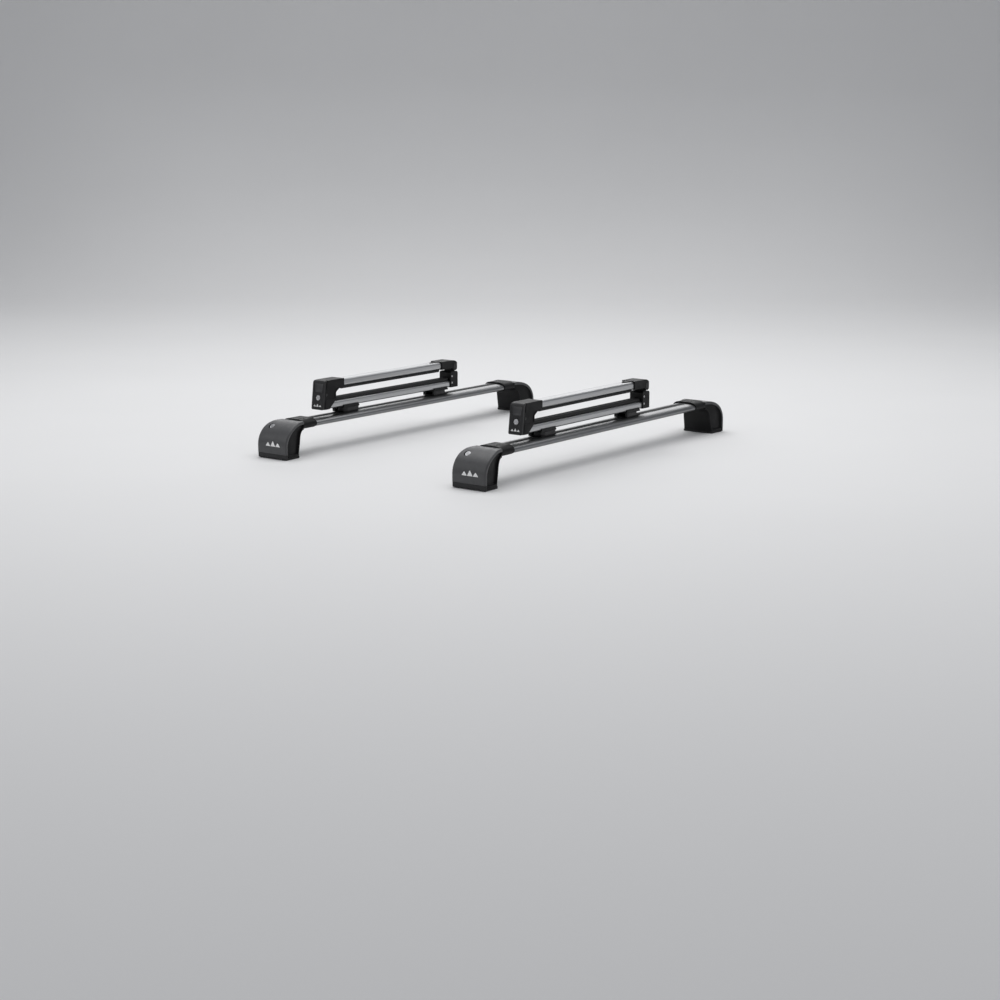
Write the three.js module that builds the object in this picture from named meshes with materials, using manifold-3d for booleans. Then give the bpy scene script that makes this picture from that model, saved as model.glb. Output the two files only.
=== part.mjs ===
// A roof ski rack: two wing-shaped load bars on clamped feet, each carrying a hinged clamp for skis.
// Millimetres. +X is the direction of travel, +Y runs along the load bars and +Z is up.
// The origin is the middle of the footprint, on the surface that the four feet stand on.
import * as THREE from "three";
import { mergeVertices } from "three/addons/utils/BufferGeometryUtils.js";
import Module from "manifold-3d";

// ---- Driving dimensions ----
const BAR_SPACING = 700; // between the two load bars
const RACK_WIDTH = 1152; // over the outer faces of the rear feet
const FRONT_EXTRA = 10; // how much further out each front foot stands
const BAR_WIDTH = 80;
const BAR_HEIGHT = 22;
const BAR_TOP = 97; // above the surface the feet stand on
const BAR_END = 472; // half the rear load bar's length
const FOOT_WIDTH = 108;
const FOOT_HEIGHT = 99;
const BEND_IN = 75; // how far in the cover's shoulder reaches
const BEND_RISE = 63; // how tall it is
const SLEEVE_REACH = 142; // from the foot's outer face to the end of its sleeve
const CLAMP_START = -389; // where the clamp's front panel stands along the load bar
const CLAMP_RISE = 115; // height of the lower arm's underside
const CLAMP_LENGTH = 611;
const ARM_WIDTH = 38;
const ARM_HEIGHT = 20;
const UPPER_ARM_BASE = 60; // underside of the upper arm, above the underside of the lower arm
const CASE_HALF = 22; // half the width of the latch housing and hinge cap
const GAP = 0.3; // clearance between pieces that touch
const PANEL_LEAN = 9.3 / 74; // how far the front panel leans in for each millimetre of height
const HINGE = { y: 598, z: 64, pin: 3.5 }; // the upper arm's pivot
const HOOK = { y: 18, z: 42, pin: 2.5 }; // the latch hook's pivot
const PANEL_LOCK = { z: 33.5, radius: 7.5 };
const MOUNTS = { near: { pivot: 104, way: 1 }, far: { pivot: 548, way: -1 } }; // way: where the lever points
const FOOT_LOCK = { x: -28, angle: 55, tilt: 44, radius: 8.5 }; // where on the shoulder, and its axis
const ROUND = 20; // sides of a small round piece

// ---- Solids ----
const wasm = await Module();
wasm.setup();

const X = new THREE.Vector3(1, 0, 0);
const Y = new THREE.Vector3(0, 1, 0);
const Z = new THREE.Vector3(0, 0, 1);
const DRAWN_IN_YZ = new THREE.Matrix4().makeBasis(Y, Z, X);
const DRAWN_IN_XZ = new THREE.Matrix4().makeBasis(X, Z, Y.clone().negate());

function solid(geometry) {
  const bare = geometry.index ? geometry.toNonIndexed() : geometry.clone();
  bare.deleteAttribute("normal");
  bare.deleteAttribute("uv");
  const merged = mergeVertices(bare, 1e-4);
  const corners = Array.from(merged.index.array);
  const triVerts = [];
  for (let i = 0; i < corners.length; i += 3) {
    const [a, b, c] = corners.slice(i, i + 3);
    if (a !== b && b !== c && c !== a) triVerts.push(a, b, c);
  }
  const mesh = new wasm.Mesh({
    numProp: 3,
    vertProperties: merged.attributes.position.array,
    triVerts: new Uint32Array(triVerts),
  });
  return new wasm.Manifold(mesh);
}

function geometryOf(made) {
  const { vertProperties, triVerts } = made.getMesh();
  const geometry = new THREE.BufferGeometry();
  geometry.setAttribute("position", new THREE.BufferAttribute(vertProperties, 3));
  geometry.setIndex(new THREE.BufferAttribute(triVerts, 1));
  geometry.computeVertexNormals();
  return geometry;
}

function polygon(points) {
  return new THREE.Shape(points.map(([a, b]) => new THREE.Vector2(a, b)));
}

function extruded(shape, depth, curveSegments) {
  return new THREE.ExtrudeGeometry(shape, { depth, bevelEnabled: false, curveSegments });
}

// A side view drawn in (y, z), from x0 to x1.
function across(shape, x0, x1, steps = 8) {
  const geometry = extruded(shape, x1 - x0, steps).applyMatrix4(DRAWN_IN_YZ);
  return solid(geometry.translate(x0, 0, 0));
}

// A section drawn in (x, z), from y0 to y1.
function along(shape, y0, y1, steps = 5) {
  const geometry = extruded(shape, y1 - y0, steps).applyMatrix4(DRAWN_IN_XZ);
  return solid(geometry.translate(0, y1, 0));
}

// A plan drawn in (x, y), from z0 to z1.
function upright(shape, z0, z1, steps = 8) {
  return solid(extruded(shape, z1 - z0, steps).translate(0, 0, z0));
}

function box(x0, x1, y0, y1, z0, z1) {
  const geometry = new THREE.BoxGeometry(x1 - x0, y1 - y0, z1 - z0);
  return solid(geometry.translate((x0 + x1) / 2, (y0 + y1) / 2, (z0 + z1) / 2));
}

// A round bar of the given radius from point a to point b.
function rod(radius, a, b, sides = ROUND) {
  const start = new THREE.Vector3(...a);
  const way = new THREE.Vector3(...b).sub(start);
  const turn = new THREE.Quaternion().setFromUnitVectors(Y, way.clone().normalize());
  const geometry = new THREE.CylinderGeometry(radius, radius, way.length(), sides);
  geometry.applyQuaternion(turn);
  const middle = start.addScaledVector(way, 0.5);
  return solid(geometry.translate(middle.x, middle.y, middle.z));
}

// ---- Materials ----
const FINISHES = {
  aluminium: { color: 0xa9abad, roughness: 0.35, metalness: 0.9 },
  cover: { color: 0x3d3e40, roughness: 0.5, metalness: 0.0 },
  plastic: { color: 0x161718, roughness: 0.55, metalness: 0.0 },
  button: { color: 0x3a3b3d, roughness: 0.5, metalness: 0.0 },
  rubber: { color: 0x0d0d0e, roughness: 0.9, metalness: 0.0 },
  steel: { color: 0xb8b9bb, roughness: 0.3, metalness: 1.0 },
};

function addPiece(group, name, made, finish) {
  const mesh = new THREE.Mesh(geometryOf(made), new THREE.MeshStandardMaterial(FINISHES[finish]));
  mesh.name = name;
  group.add(mesh);
}

// ---- Load bar ----
// The wing section, its top at z = 0; grow adds to it all round, and crown more on top, for the
// sleeve that holds it.
function wingSection(grow = 0, crown = 0) {
  const nose = BAR_WIDTH / 2 + grow;
  const top = grow + crown;
  const base = -BAR_HEIGHT - grow;
  const wing = new THREE.Shape();
  wing.moveTo(nose, -11);
  wing.bezierCurveTo(nose, -5 + top, 30, top, 15, top);
  wing.lineTo(-13, top);
  wing.bezierCurveTo(-24 - 1.5 * crown, top, -34 - crown, -4 + top, -nose + 1.5, -12);
  wing.bezierCurveTo(-nose - 0.6, -14.5, -nose, -17 - grow, -nose + 4, -18 - grow);
  wing.bezierCurveTo(-20, base, -6, base, 12, base);
  wing.bezierCurveTo(30, base, nose, -18, nose, -11);
  return wing;
}

function loadBar(extra) {
  const section = wingSection();
  const frontCell = [
    [14, -2.4], [24, -3.2], [33, -6.6], [37.4, -11], [35.4, -15.6], [28, -18.6], [14, -19.8],
  ];
  const rearCell = [[-14, -2.4], [-14, -19.4], [-30, -17.6], [-35.6, -15.4], [-33, -9.6], [-25, -4.6]];
  const floorCell = [[-12, -14], [-12, -19.6], [12, -20], [12, -14]];
  section.holes.push(polygon(frontCell), polygon(rearCell), polygon(floorCell));
  const bar = along(section, -BAR_END - extra, BAR_END + extra);
  const seat = box(-11.3, 11.3, -500, 500, -1.6, 3);
  const mouth = box(-5.5, 5.5, -500, 500, -4.6, 0);
  const channel = box(-12, 12, -500, 500, -12, -4.4);
  return bar.subtract(seat).subtract(mouth).subtract(channel);
}

// The rubber strip that fills the bar's slot, with a hole for each mount's bolt.
function slotStrip(extra) {
  const end = RACK_WIDTH / 2 + extra - SLEEVE_REACH - GAP;
  const section = polygon([
    [-11, -1.3], [-5.2, -1.3], [-5.2, -4], [5.2, -4], [5.2, -1.3], [11, -1.3], [10.4, 0.4], [-10.4, 0.4],
  ]);
  let strip = along(section, -end, end);
  for (const { pivot } of Object.values(MOUNTS)) {
    const y = CLAMP_START + pivot;
    strip = strip.subtract(box(-4.6, 4.6, y - 4.6, y + 4.6, -9, 5));
  }
  return strip;
}

// ---- Foot, drawn with u running in from its outer face; u is y here ----
const BEND_Z = FOOT_HEIGHT - BEND_RISE;
const SHELL = 3; // thickness of the cover
const COVER_END = 88;

// The rounded shoulder from the outer face to the top, set in by an offset.
function shoulder(path, offset) {
  const [inward, rise] = [BEND_IN - offset, BEND_RISE - offset];
  path.absellipse(BEND_IN, BEND_Z, inward, rise, Math.PI, Math.PI / 2, true);
}

function footPlan(inset) {
  const wide = FOOT_WIDTH / 2 - inset;
  const plan = new THREE.Shape();
  plan.moveTo(-wide, -1);
  plan.lineTo(wide, -1);
  plan.lineTo(wide, 18);
  plan.bezierCurveTo(wide - 1, 50, 44 - inset, 72, 42.6 - inset, COVER_END);
  plan.lineTo(42.6 - inset, SLEEVE_REACH + 1);
  plan.lineTo(-42.6 + inset, SLEEVE_REACH + 1);
  plan.lineTo(-42.6 + inset, COVER_END);
  plan.bezierCurveTo(-44 + inset, 72, 1 - wide, 50, -wide, 18);
  return upright(plan, -1, FOOT_HEIGHT + 1);
}

// A point on the lock's axis, at a depth under the shoulder.
function lockPoint(depth) {
  const angle = THREE.MathUtils.degToRad(FOOT_LOCK.angle);
  const tilt = THREE.MathUtils.degToRad(FOOT_LOCK.tilt);
  const u = BEND_IN * (1 - Math.cos(angle)) + depth * Math.cos(tilt);
  return [FOOT_LOCK.x, u, BEND_Z + BEND_RISE * Math.sin(angle) - depth * Math.sin(tilt)];
}

// The hollow in each side of the leg, between the cover's edge and the flange round the inner curve.
function sideHollows() {
  const rim = SHELL + 5;
  const side = new THREE.Shape();
  side.moveTo(rim, 12);
  side.lineTo(rim, BEND_Z);
  shoulder(side, rim);
  side.lineTo(COVER_END - 4, FOOT_HEIGHT - rim);
  side.lineTo(COVER_END - 4, 79);
  side.bezierCurveTo(72, 78, 65.5, 66, 63.5, 46);
  side.bezierCurveTo(62.5, 38, 58, 24, 55.5, 12);
  return across(side, -60, 60).subtract(footPlan(7));
}

function footBody() {
  const skin = SHELL + 0.4;
  const side = new THREE.Shape();
  side.moveTo(skin, 6.3);
  side.lineTo(skin, BEND_Z);
  shoulder(side, skin);
  side.lineTo(COVER_END + GAP, FOOT_HEIGHT - skin);
  side.lineTo(COVER_END + GAP, 75);
  side.bezierCurveTo(76, 74, 70, 64, 68, 46);
  side.bezierCurveTo(67, 38, 62.5, 24, 60.5, 12);
  side.lineTo(61, 6.3);
  const leg = across(side, -FOOT_WIDTH / 2, FOOT_WIDTH / 2).intersect(footPlan(1)).subtract(sideHollows());
  const sleeve = along(wingSection(2, 3), COVER_END + GAP, SLEEVE_REACH).translate(0, 0, BAR_TOP);
  const socketStart = RACK_WIDTH / 2 - BAR_END - GAP;
  const socket = along(wingSection(GAP + 0.1), socketStart, SLEEVE_REACH + 1).translate(0, 0, BAR_TOP);
  const jawPocket = box(-32, 32, 0, 22, 5, 62);
  const lockPocket = box(FOOT_LOCK.x - 13, FOOT_LOCK.x + 13, -1, 47, 71, 110);
  return leg.add(sleeve).subtract(socket).subtract(jawPocket).subtract(lockPocket);
}

function footCover() {
  const side = new THREE.Shape();
  side.moveTo(0, 2);
  side.lineTo(0, BEND_Z);
  shoulder(side, 0);
  side.lineTo(COVER_END, FOOT_HEIGHT);
  side.lineTo(COVER_END, FOOT_HEIGHT - SHELL);
  side.lineTo(BEND_IN, FOOT_HEIGHT - SHELL);
  side.absellipse(BEND_IN, BEND_Z, BEND_IN - SHELL, BEND_RISE - SHELL, Math.PI / 2, Math.PI, false);
  side.lineTo(SHELL, 2);
  const shell = across(side, -FOOT_WIDTH / 2, FOOT_WIDTH / 2).intersect(footPlan(0));
  return shell.subtract(rod(FOOT_LOCK.radius + GAP, lockPoint(-8), lockPoint(12)));
}

function footLock() {
  const barrel = rod(FOOT_LOCK.radius, lockPoint(3), lockPoint(9.5));
  const [x, y, z] = lockPoint(3);
  return barrel.subtract(box(x - 3, x + 3, y - 0.7, y + 0.7, z - 2.5, z + 3));
}

function footJaw() {
  const side = polygon([[12, 1], [21, 1], [21, 4.6], [15.5, 6], [15.5, 38], [12, 38]]);
  const plate = across(side, -28, 28);
  return plate.subtract(rod(4.5, [0, 5, 30], [0, 20, 30], 12));
}

function footPad() {
  const plan = polygon([
    [-51, 4.5], [-34, 4.5], [-34, 22], [34, 22], [34, 4.5], [51, 4.5], [50, 62], [-50, 62],
  ]);
  return upright(plan, 0, 6);
}

function buildFoot(bar, side, x, extra) {
  const foot = new THREE.Group();
  const mirrored = side === "far";
  foot.position.set(x, (mirrored ? 1 : -1) * (RACK_WIDTH / 2 + extra), 0);
  foot.scale.y = mirrored ? -1 : 1;
  const name = `${bar}_${side}_foot`;
  addPiece(foot, `${name}_body`, footBody(), "plastic");
  addPiece(foot, `${name}_cover`, footCover(), "cover");
  addPiece(foot, `${name}_lock`, footLock(), "steel");
  addPiece(foot, `${name}_jaw`, footJaw(), "steel");
  addPiece(foot, `${name}_pad`, footPad(), "rubber");
  return foot;
}

// ---- Arms of the ski clamp; y runs from the front panel, z from the lower arm's underside ----
function roundedRect(half, low, high, radius) {
  const shape = new THREE.Shape();
  shape.moveTo(half, low + radius);
  shape.absarc(half - radius, high - radius, radius, 0, Math.PI / 2, false);
  shape.absarc(-half + radius, high - radius, radius, Math.PI / 2, Math.PI, false);
  shape.absarc(-half + radius, low + radius, radius, Math.PI, 1.5 * Math.PI, false);
  shape.absarc(half - radius, low + radius, radius, 1.5 * Math.PI, 2 * Math.PI, false);
  return shape;
}

// An arm's section with its slot for the rubber on top; grow adds to it all round.
function armSection(grow = 0) {
  return roundedRect(ARM_WIDTH / 2 + grow, -grow, ARM_HEIGHT + grow, 8 + grow);
}

function arm(y0, y1) {
  const section = armSection();
  section.holes.push(roundedRect(ARM_WIDTH / 2 - 2.2, 2.2, 13, 4));
  const mouth = box(-6, 6, y0 - 1, y1 + 1, 15, ARM_HEIGHT + 1);
  const slot = box(-9, 9, y0 - 1, y1 + 1, 14.8, 17.5);
  return along(section, y0, y1, 4).subtract(mouth).subtract(slot);
}

// The rubber profile: a foot in the slot, and a pad with two soft hollow ribs.
function armRubber(y0, y1) {
  const section = polygon([
    [-8.7, 15.1], [8.7, 15.1], [8.7, 17.2], [5.7, 17.2], [5.7, 20.3], [12, 20.3], [13.5, 22.5],
    [12.5, 27.5], [10, 29], [3, 29], [0, 27.6], [-3, 29], [-10, 29], [-12.5, 27.5], [-13.5, 22.5],
    [-12, 20.3], [-5.7, 20.3], [-5.7, 17.2], [-8.7, 17.2],
  ]);
  let rubber = along(section, y0, y1);
  for (const x of [-6.6, 6.6]) {
    const hollow = polygon([[x - 4, 22.6], [x + 4, 22.6], [x + 3.4, 26.6], [x - 3.4, 26.6]]);
    rubber = rubber.subtract(along(hollow, y0 - 1, y1 + 1));
  }
  return rubber;
}

// Turns a piece of the lower arm over, to hang under the upper arm.
function turnedOver(made) {
  return made.mirror([0, 0, 1]).translate(0, 0, UPPER_ARM_BASE + ARM_HEIGHT);
}

// ---- Latch end ----
function latchHousing() {
  const side = polygon([
    [6, 0], [6 + 72.6 * PANEL_LEAN, 72.6], [21, 79.5], [21, 82.5], [92, 82.5], [92, 58.3], [75, 58.3],
    [57, 46], [57, 25], [28, 0],
  ]);
  const shell = across(side, -CASE_HALF, CASE_HALF);
  const works = box(-19.6, 19.6, -5, 54.5, -5, 56);
  const barWay = box(-19.6, 19.6, 50, 70, -5, 31);
  const buttonWay = box(-19.6, 19.6, -5, 20, 55, 76);
  const socket = turnedOver(along(armSection(GAP), 23.7, 95, 4));
  const pivot = rod(HOOK.pin + GAP, [-25, HOOK.y, HOOK.z], [25, HOOK.y, HOOK.z], 12);
  return shell.subtract(works).subtract(barWay).subtract(buttonWay).subtract(socket).subtract(pivot);
}

function panelNormalRod(radius, depth0, depth1) {
  const start = [0, PANEL_LOCK.z * PANEL_LEAN + depth0, PANEL_LOCK.z - depth0 * PANEL_LEAN];
  const end = [0, PANEL_LOCK.z * PANEL_LEAN + depth1, PANEL_LOCK.z - depth1 * PANEL_LEAN];
  return rod(radius, start, end);
}

function latchCover() {
  const side = polygon([
    [0, 0], [74 * PANEL_LEAN, 74], [17, 82.5], [20, 82.5], [20, 80], [5 + 73 * PANEL_LEAN, 73], [5, 0],
  ]);
  const panel = across(side, -CASE_HALF, CASE_HALF);
  const window = box(-16.8, 16.8, -5, 30, 48.7, 74.3);
  return panel.subtract(window).subtract(panelNormalRod(PANEL_LOCK.radius + GAP, -4, 12));
}

function releaseButton() {
  const front = (z) => 0.8 + z * PANEL_LEAN;
  const side = polygon([
    [front(49.2), 49.2], [front(56) + 1.4, 56], [front(67) + 1.4, 67], [front(73.8), 73.8],
    [front(73.8) + 5, 73.8], [front(55) + 5, 55], [15.2, 55], [15.2, 53.2], [front(53.2) + 5, 53.2],
    [front(49.2) + 5, 49.2],
  ]);
  return across(side, -16.4, 16.4);
}

function lockCylinder() {
  const barrel = panelNormalRod(PANEL_LOCK.radius, 0.4, 8.6);
  const face = PANEL_LOCK.z * PANEL_LEAN;
  return barrel.subtract(box(-0.8, 0.8, face - 1, face + 3, PANEL_LOCK.z - 4, PANEL_LOCK.z + 4));
}

function latchHook() {
  const hub = rod(4, [-13, HOOK.y, HOOK.z], [13, HOOK.y, HOOK.z], 16);
  const pins = rod(HOOK.pin, [-21.6, HOOK.y, HOOK.z], [21.6, HOOK.y, HOOK.z], 12);
  const thumb = box(-6, 6, 15.6, 19.4, HOOK.z, 55);
  const leg = polygon([[14.6, 44], [14.4, 30], [16, 29], [22.5, 30], [22.5, 33.1], [18.6, 33.1], [19, 44]]);
  return hub.add(pins).add(thumb).add(across(leg, 9, 13)).add(across(leg, -13, -9));
}

// The catch that the hook holds. It slides up in the end cap as the hinge post rises.
function striker() {
  const stem = box(-8, 8, 24, 30, 4, 38);
  const bar = box(-13, 13, 20.2, 30, 33.6, 38);
  return stem.add(bar);
}

function nearCap() {
  const block = box(-18.5, 18.5, 10, 35.7, 0.5, 24);
  const plug = box(-13, 13, 35, 50, 2.6, 12.6);
  return block.add(plug).subtract(box(-8.4, 8.4, 23.6, 30.4, 3, 40));
}

// ---- Hinge end ----
function hingeBase() {
  const side = polygon([
    [576.3, -0.3], [CLAMP_LENGTH, -0.3], [CLAMP_LENGTH, 44], [606.8, 48], [580, 48], [576.3, 44],
  ]);
  const block = across(side, -CASE_HALF, CASE_HALF);
  const plug = box(-13, 13, 560, 577, 2.6, 12.6);
  return block.add(plug).subtract(box(-14.4, 14.4, 589.6, 606.4, 5, 60));
}

function hingePost() {
  const stem = box(-14, 14, 590, 606, 8, HINGE.z);
  const head = rod(8, [-14, HINGE.y, HINGE.z], [14, HINGE.y, HINGE.z]);
  const pin = rod(HINGE.pin, [-CASE_HALF, HINGE.y, HINGE.z], [CASE_HALF, HINGE.y, HINGE.z], 16);
  return stem.add(head).add(pin);
}

function hingeCap() {
  const sleeve = across(polygon([[533, 58.3], [582, 58.3], [582, 82.5], [533, 82.5]]), -CASE_HALF, CASE_HALF);
  const cheekSide = new THREE.Shape();
  cheekSide.moveTo(575, 58.3);
  cheekSide.absarc(HINGE.y, HINGE.z, 13, 1.3 * Math.PI, 2 * Math.PI, false);
  cheekSide.bezierCurveTo(CLAMP_LENGTH, 76, 600, 82.5, 585, 82.5);
  cheekSide.lineTo(575, 82.5);
  const cheeks = across(cheekSide, 14.5, CASE_HALF).add(across(cheekSide, -CASE_HALF, -14.5));
  const tonguePlan = polygon([[-9, 534], [-2.5, 503], [2.5, 503], [9, 534]]);
  const tongue = upright(tonguePlan, UPPER_ARM_BASE + ARM_HEIGHT + GAP, 82.5);
  const socket = turnedOver(along(armSection(GAP), 530, 578.4, 4));
  const bore = rod(HINGE.pin + GAP, [-30, HINGE.y, HINGE.z], [30, HINGE.y, HINGE.z], 16);
  return sleeve.add(cheeks).subtract(socket).add(tongue).subtract(bore);
}

// ---- Mounts between the clamp and the load bar, drawn with the lever's pivot at y = 0 ----
const MOUNT_BASE = BAR_TOP + 0.8 - CLAMP_RISE;
const BOLT_TIP = BAR_TOP - CLAMP_RISE;

function mountBlock() {
  const side = polygon([[-17, -9], [-15, -GAP], [52, -GAP], [52, MOUNT_BASE], [-15, MOUNT_BASE]]);
  const block = across(side, -21.5, 21.5);
  const lips = box(-21.5, 21.5, -13, 50, -2, 5);
  const saddle = along(armSection(GAP), -30, 70, 4);
  const leverWay = box(-10.5, 30, -23, 80, -14.4, -4.4);
  const bossWay = rod(14, [0, 0, -14.4], [0, 0, -4.4]);
  const bolt = rod(4, [0, 0, -5], [0, 0, BOLT_TIP - 5.4], 12);
  const head = box(-9, 9, -4, 4, BOLT_TIP - 9, BOLT_TIP - 4.8);
  return block.add(lips).subtract(saddle).subtract(leverWay).subtract(bossWay).add(bolt).add(head);
}

function mountLever() {
  const boss = rod(13, [0, 0, -14], [0, 0, -4.8]);
  const plan = polygon([[0, -12], [14, -9], [21, 2], [22, 44], [20, 50], [14, 50], [12, 34], [11, 8]]);
  return boss.add(upright(plan, -14, -4.8)).subtract(rod(4 + GAP, [0, 0, -20], [0, 0, 0], 12));
}

function placed(made, { pivot, way }) {
  return (way < 0 ? made.mirror([0, 1, 0]) : made).translate(0, pivot, 0);
}

function buildClamp(bar, x) {
  const clamp = new THREE.Group();
  clamp.position.set(x, CLAMP_START, CLAMP_RISE);
  const add = (name, made, finish) => addPiece(clamp, `${bar}_${name}`, made, finish);
  add("lower_arm", arm(36, 576), "aluminium");
  add("lower_rubber", armRubber(60, 574), "rubber");
  add("upper_arm", turnedOver(arm(24, 578)), "aluminium");
  add("upper_rubber", turnedOver(armRubber(93, 532)), "rubber");
  add("latch_housing", latchHousing(), "plastic");
  add("latch_cover", latchCover(), "plastic");
  add("release_button", releaseButton(), "button");
  add("lock_cylinder", lockCylinder(), "steel");
  add("latch_hook", latchHook(), "steel");
  add("striker", striker(), "steel");
  add("near_end_cap", nearCap(), "plastic");
  add("hinge_base", hingeBase(), "plastic");
  add("hinge_post", hingePost(), "plastic");
  add("hinge_cap", hingeCap(), "plastic");
  for (const [end, place] of Object.entries(MOUNTS)) {
    add(`${end}_mount`, placed(mountBlock(), place), "plastic");
    add(`${end}_lever`, placed(mountLever(), place), "plastic");
  }
  return clamp;
}

// ---- The rack ----
const rack = new THREE.Group();
for (const [bar, x, extra] of [["front", BAR_SPACING / 2, FRONT_EXTRA], ["rear", -BAR_SPACING / 2, 0]]) {
  const load = new THREE.Group();
  load.position.set(x, 0, BAR_TOP);
  addPiece(load, `${bar}_load_bar`, loadBar(extra), "aluminium");
  addPiece(load, `${bar}_slot_strip`, slotStrip(extra), "rubber");
  rack.add(load, buildFoot(bar, "near", x, extra), buildFoot(bar, "far", x, extra), buildClamp(bar, x));
}

export default rack;
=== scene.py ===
"""A roof ski rack's looks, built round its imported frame.

Local sizes are in millimetres, and the scene is in metres.
"""
import math

import bmesh
import bpy
from mathutils import Matrix, Vector


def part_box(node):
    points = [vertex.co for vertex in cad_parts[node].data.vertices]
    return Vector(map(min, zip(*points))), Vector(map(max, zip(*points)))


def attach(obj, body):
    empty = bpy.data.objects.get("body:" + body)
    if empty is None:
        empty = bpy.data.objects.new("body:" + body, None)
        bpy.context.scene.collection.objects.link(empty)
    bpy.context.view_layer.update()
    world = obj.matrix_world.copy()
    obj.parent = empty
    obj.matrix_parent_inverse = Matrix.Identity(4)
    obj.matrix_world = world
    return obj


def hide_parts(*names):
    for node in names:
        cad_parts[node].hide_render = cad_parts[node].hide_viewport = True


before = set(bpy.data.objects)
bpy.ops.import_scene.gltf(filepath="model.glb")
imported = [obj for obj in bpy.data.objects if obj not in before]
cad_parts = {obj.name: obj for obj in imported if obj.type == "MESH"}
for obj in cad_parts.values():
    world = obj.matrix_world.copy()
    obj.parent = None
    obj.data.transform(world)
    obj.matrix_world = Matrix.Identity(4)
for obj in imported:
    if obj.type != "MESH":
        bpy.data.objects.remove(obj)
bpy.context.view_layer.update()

BARS = ("front", "rear")
SIDES = ("near", "far")
MM = Matrix.Scale(0.001, 4)


# ---------------------------------------------------------------- materials
class Nodes:
    """A small helper that adds and links the nodes of one material."""

    def __init__(self, name):
        self.material = bpy.data.materials.new(name)
        self.material.use_nodes = True
        self.tree = self.material.node_tree
        self.shader = self.tree.nodes["Principled BSDF"]

    def add(self, kind, **settings):
        node = self.tree.nodes.new(kind)
        for key, value in settings.items():
            if key in node.inputs:
                node.inputs[key].default_value = value
            else:
                setattr(node, key, value)
        return node

    def link(self, source, target):
        self.tree.links.new(source, target)

    def noise(self, scale, detail=2.0, stretch=(1, 1, 1), roughness=0.5):
        """Noise over the piece's own coordinates. scale is in features a metre."""
        place = self.add("ShaderNodeTexCoord")
        mapping = self.add("ShaderNodeMapping")
        mapping.inputs["Scale"].default_value = stretch
        self.link(place.outputs["Object"], mapping.inputs["Vector"])
        noise = self.add("ShaderNodeTexNoise", Scale=scale, Detail=detail, Roughness=roughness)
        self.link(mapping.outputs["Vector"], noise.inputs["Vector"])
        return noise.outputs["Fac"]

    def spread(self, value, low, high, start=0.3, end=0.7):
        node = self.add("ShaderNodeMapRange")
        node.inputs["From Min"].default_value = start
        node.inputs["From Max"].default_value = end
        node.inputs["To Min"].default_value = low
        node.inputs["To Max"].default_value = high
        self.link(value, node.inputs["Value"])
        return node.outputs["Result"]

    def mix(self, factor, first, second):
        node = self.add("ShaderNodeMix", data_type="RGBA")
        for socket, value in ((node.inputs[6], first), (node.inputs[7], second)):
            if isinstance(value, tuple):
                socket.default_value = (*value, 1)
            else:
                self.link(value, socket)
        self.link(factor, node.inputs[0])
        return node.outputs[2]

    def maths(self, operation, first, second):
        node = self.add("ShaderNodeMath", operation=operation)
        self.link(first, node.inputs[0])
        if isinstance(second, (int, float)):
            node.inputs[1].default_value = second
        else:
            self.link(second, node.inputs[1])
        return node.outputs[0]

    def bump(self, height, distance, strength=1.0, after=None):
        node = self.add("ShaderNodeBump", Distance=distance, Strength=strength)
        self.link(height, node.inputs["Height"])
        if after is not None:
            self.link(after, node.inputs["Normal"])
        return node.outputs["Normal"]

    def set(self, **values):
        for key, value in values.items():
            socket = self.shader.inputs[key.replace("_", " ")]
            if isinstance(value, (int, float, tuple)):
                socket.default_value = value
            else:
                self.link(value, socket)
        return self.material


def plastic(name, dark, light, rough, grain=1500, depth=0.00005, worn=(0.2, 0.2, 0.2), shine=0.5):
    """Moulded plastic: fine spark grain, faint mottling, scuffs and edges rubbed paler."""
    n = Nodes(name)
    mottle = n.spread(n.noise(28, 4, roughness=0.62), 0, 1, 0.35, 0.68)
    colour = n.mix(mottle, dark, light)
    scuff = n.spread(n.noise(300, 3, (1, 0.25, 1.6)), 0, 0.16, 0.6, 0.78)
    colour = n.mix(scuff, colour, worn)
    edge = n.spread(n.add("ShaderNodeNewGeometry").outputs["Pointiness"], 0, 0.22, 0.53, 0.62)
    colour = n.mix(edge, colour, worn)
    sheen = n.spread(n.noise(60, 3), rough - 0.05, rough + 0.08)
    fine = n.noise(grain, 2)
    normal = n.bump(fine, depth, 0.7)
    normal = n.bump(n.noise(grain / 6, 3), depth * 1.4, 0.5, normal)
    return n.set(Base_Color=colour, Roughness=sheen, Normal=normal, Specular_IOR_Level=shine)


def aluminium(name, dark=(0.40, 0.405, 0.41), light=(0.50, 0.505, 0.51)):
    """Anodised extrusion: long die lines, soft smudges and a few handling marks."""
    n = Nodes(name)
    lines = n.noise(1500, 2, (1, 0.004, 1))
    coarse = n.noise(420, 2, (1, 0.004, 1))
    smudge = n.noise(11, 4, (1, 0.35, 1), 0.6)
    colour = n.mix(n.spread(n.maths("ADD", lines, coarse), 0, 1, 0.7, 1.3), dark, light)
    marks = n.spread(n.noise(700, 2, (0.35, 1.0, 1)), 0, 0.25, 0.68, 0.8)
    colour = n.mix(marks, colour, (0.28, 0.283, 0.286))
    rough = n.maths("ADD", n.spread(smudge, 0.27, 0.36), n.spread(lines, -0.02, 0.04))
    normal = n.bump(lines, 0.000012, 0.4)
    normal = n.bump(coarse, 0.000015, 0.25, normal)
    return n.set(Base_Color=colour, Roughness=rough, Normal=normal, Metallic=1.0)


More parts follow.
